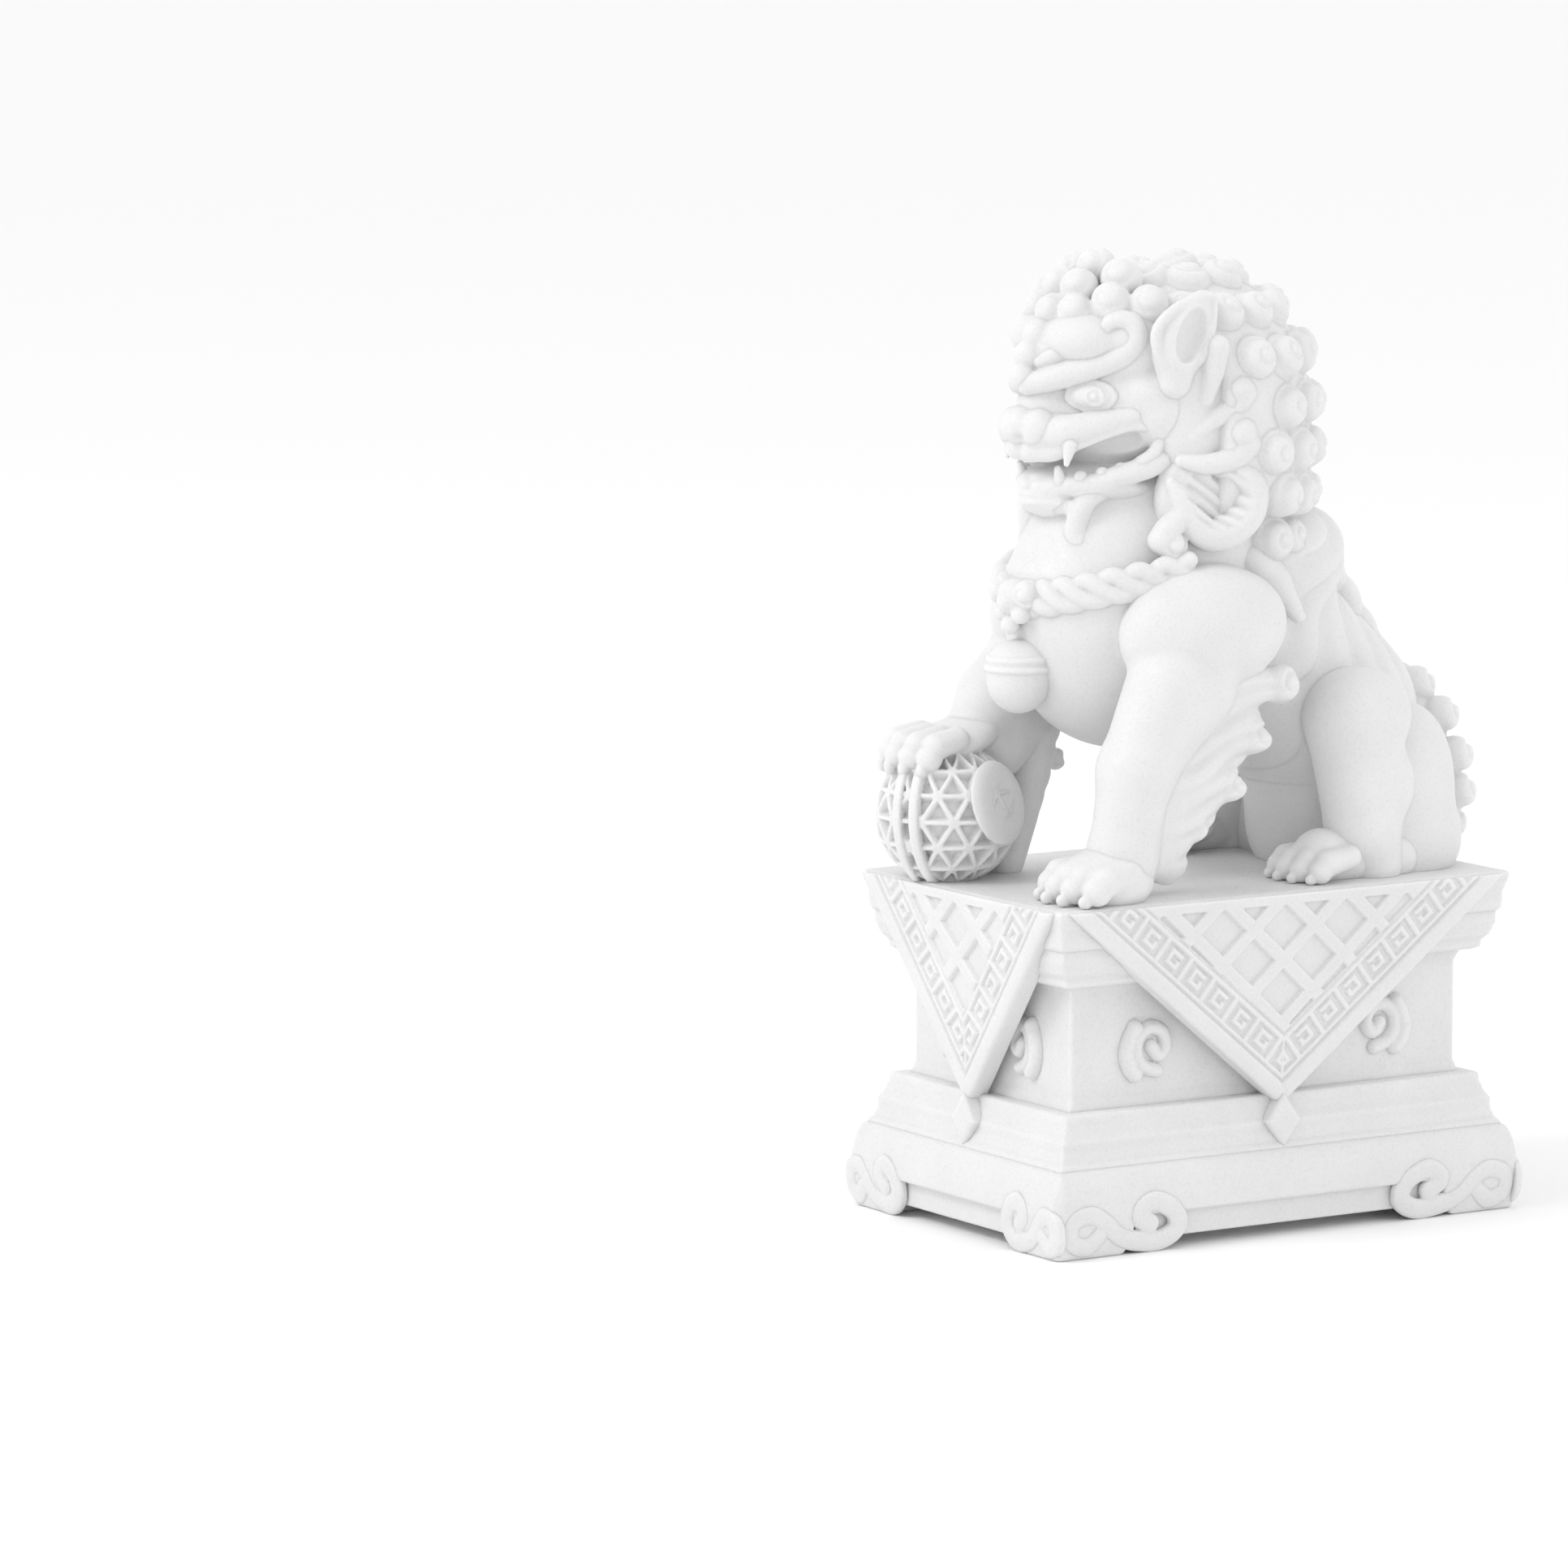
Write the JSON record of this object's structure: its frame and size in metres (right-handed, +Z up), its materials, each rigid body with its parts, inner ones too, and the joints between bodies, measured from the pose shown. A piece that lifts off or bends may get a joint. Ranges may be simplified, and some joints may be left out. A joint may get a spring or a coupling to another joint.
{
  "type": "foo dog statue",
  "caption": "Small carved guardian lion seated on a draped rectangular plinth, one forepaw resting on a brocade ball.",
  "frame": {"origin": "centre of the plinth's underside, the face it rests on", "axes": "+Z up; the lion faces -Y; +X is the lion's own left side"},
  "size_m": [0.063, 0.0984, 0.157],
  "materials": {
    "plinth_stone": "fine-grained honed white stone",
    "cloth_stone": "carved cloth in honed white stone",
    "lion_stone": "hand-smoothed white stone"
  },
  "bodies": {
    "root": {"ball_ribbon": "lion_stone", "beard": "lion_stone", "bell": "lion_stone", "brocade_ball": "lion_stone", "chest": "lion_stone", "cloth_flap_back": "cloth_stone", "cloth_flap_front": "cloth_stone", "cloth_flap_left": "cloth_stone", "cloth_flap_right": "cloth_stone", "collar": "lion_stone", "collar_clasp": "lion_stone", "flap_tab_back": "cloth_stone", "flap_tab_front": "cloth_stone", "flap_tab_left": "cloth_stone", "flap_tab_right": "cloth_stone", "foot_scrolls": "plinth_stone", "head": "lion_stone", "hindquarters": "lion_stone", "left_brow": "lion_stone", "left_cheek_lock": "lion_stone", "left_ear": "lion_stone", "left_eye": "lion_stone", "left_foreleg": "lion_stone", "left_forepaw": "lion_stone", "left_haunch": "lion_stone", "left_hind_paw": "lion_stone", "left_leg_feather": "lion_stone", "left_ruff": "lion_stone", "left_shoulder_tassel": "lion_stone", "left_thigh": "lion_stone", "lower_jaw": "lion_stone", "lower_teeth": "lion_stone", "mane_core": "lion_stone", "mane_curls": "lion_stone", "muzzle": "lion_stone", "nose": "lion_stone", "plinth_cornice": "plinth_stone", "plinth_foot": "plinth_stone", "plinth_slab": "plinth_stone", "plinth_step": "plinth_stone", "plinth_waist": "plinth_stone", "right_brow": "lion_stone", "right_cheek_lock": "lion_stone", "right_ear": "lion_stone", "right_eye": "lion_stone", "right_foreleg": "lion_stone", "right_forepaw": "lion_stone", "right_haunch": "lion_stone", "right_hind_paw": "lion_stone", "right_leg_feather": "lion_stone", "right_ruff": "lion_stone", "right_shoulder_tassel": "lion_stone", "right_thigh": "lion_stone", "spine_ridge": "lion_stone", "tail_plume": "lion_stone", "upper_fangs": "lion_stone", "waist_emblems": "plinth_stone"}
  },
  "joints": []
}
